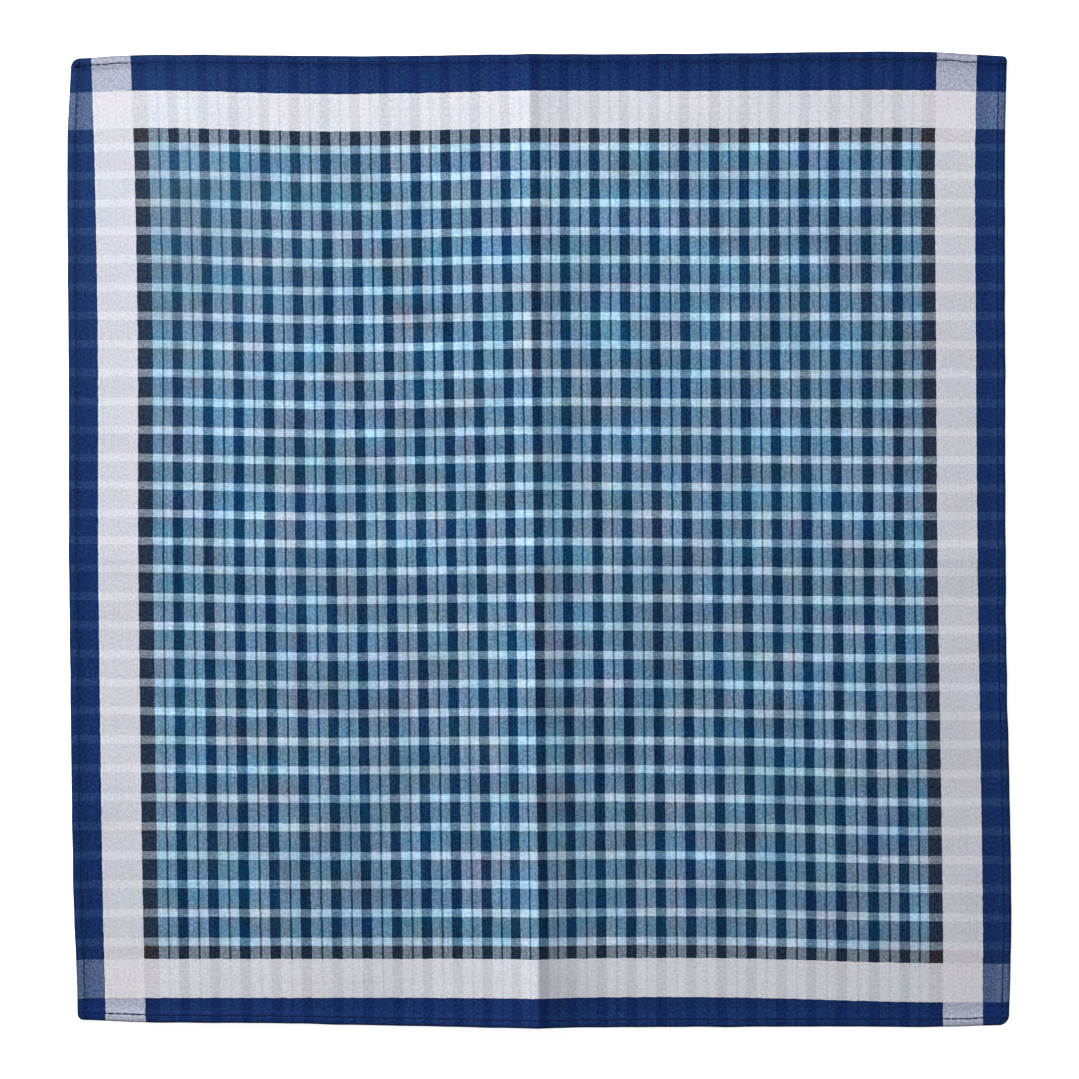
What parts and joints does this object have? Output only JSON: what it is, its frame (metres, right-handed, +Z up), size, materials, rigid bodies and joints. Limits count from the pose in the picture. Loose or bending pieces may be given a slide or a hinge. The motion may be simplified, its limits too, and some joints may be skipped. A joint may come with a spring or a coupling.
{
  "type": "cotton handkerchief",
  "caption": "Checked cotton handkerchief with plain borders and a narrow stitched hem, opened out flat, with a crease standing along its middle.",
  "frame": {"origin": "middle of the cloth's outline, on the surface that it lies on", "axes": "+Z up from the surface, +Y along the warp and the long crease, +X across the warp"},
  "size_m": [0.4338, 0.4486, 0.0071],
  "materials": {
    "checked_cotton": "matt woven cotton in navy, sky blue, white and black"
  },
  "bodies": {
    "root": {"cloth": "checked_cotton"}
  },
  "joints": []
}
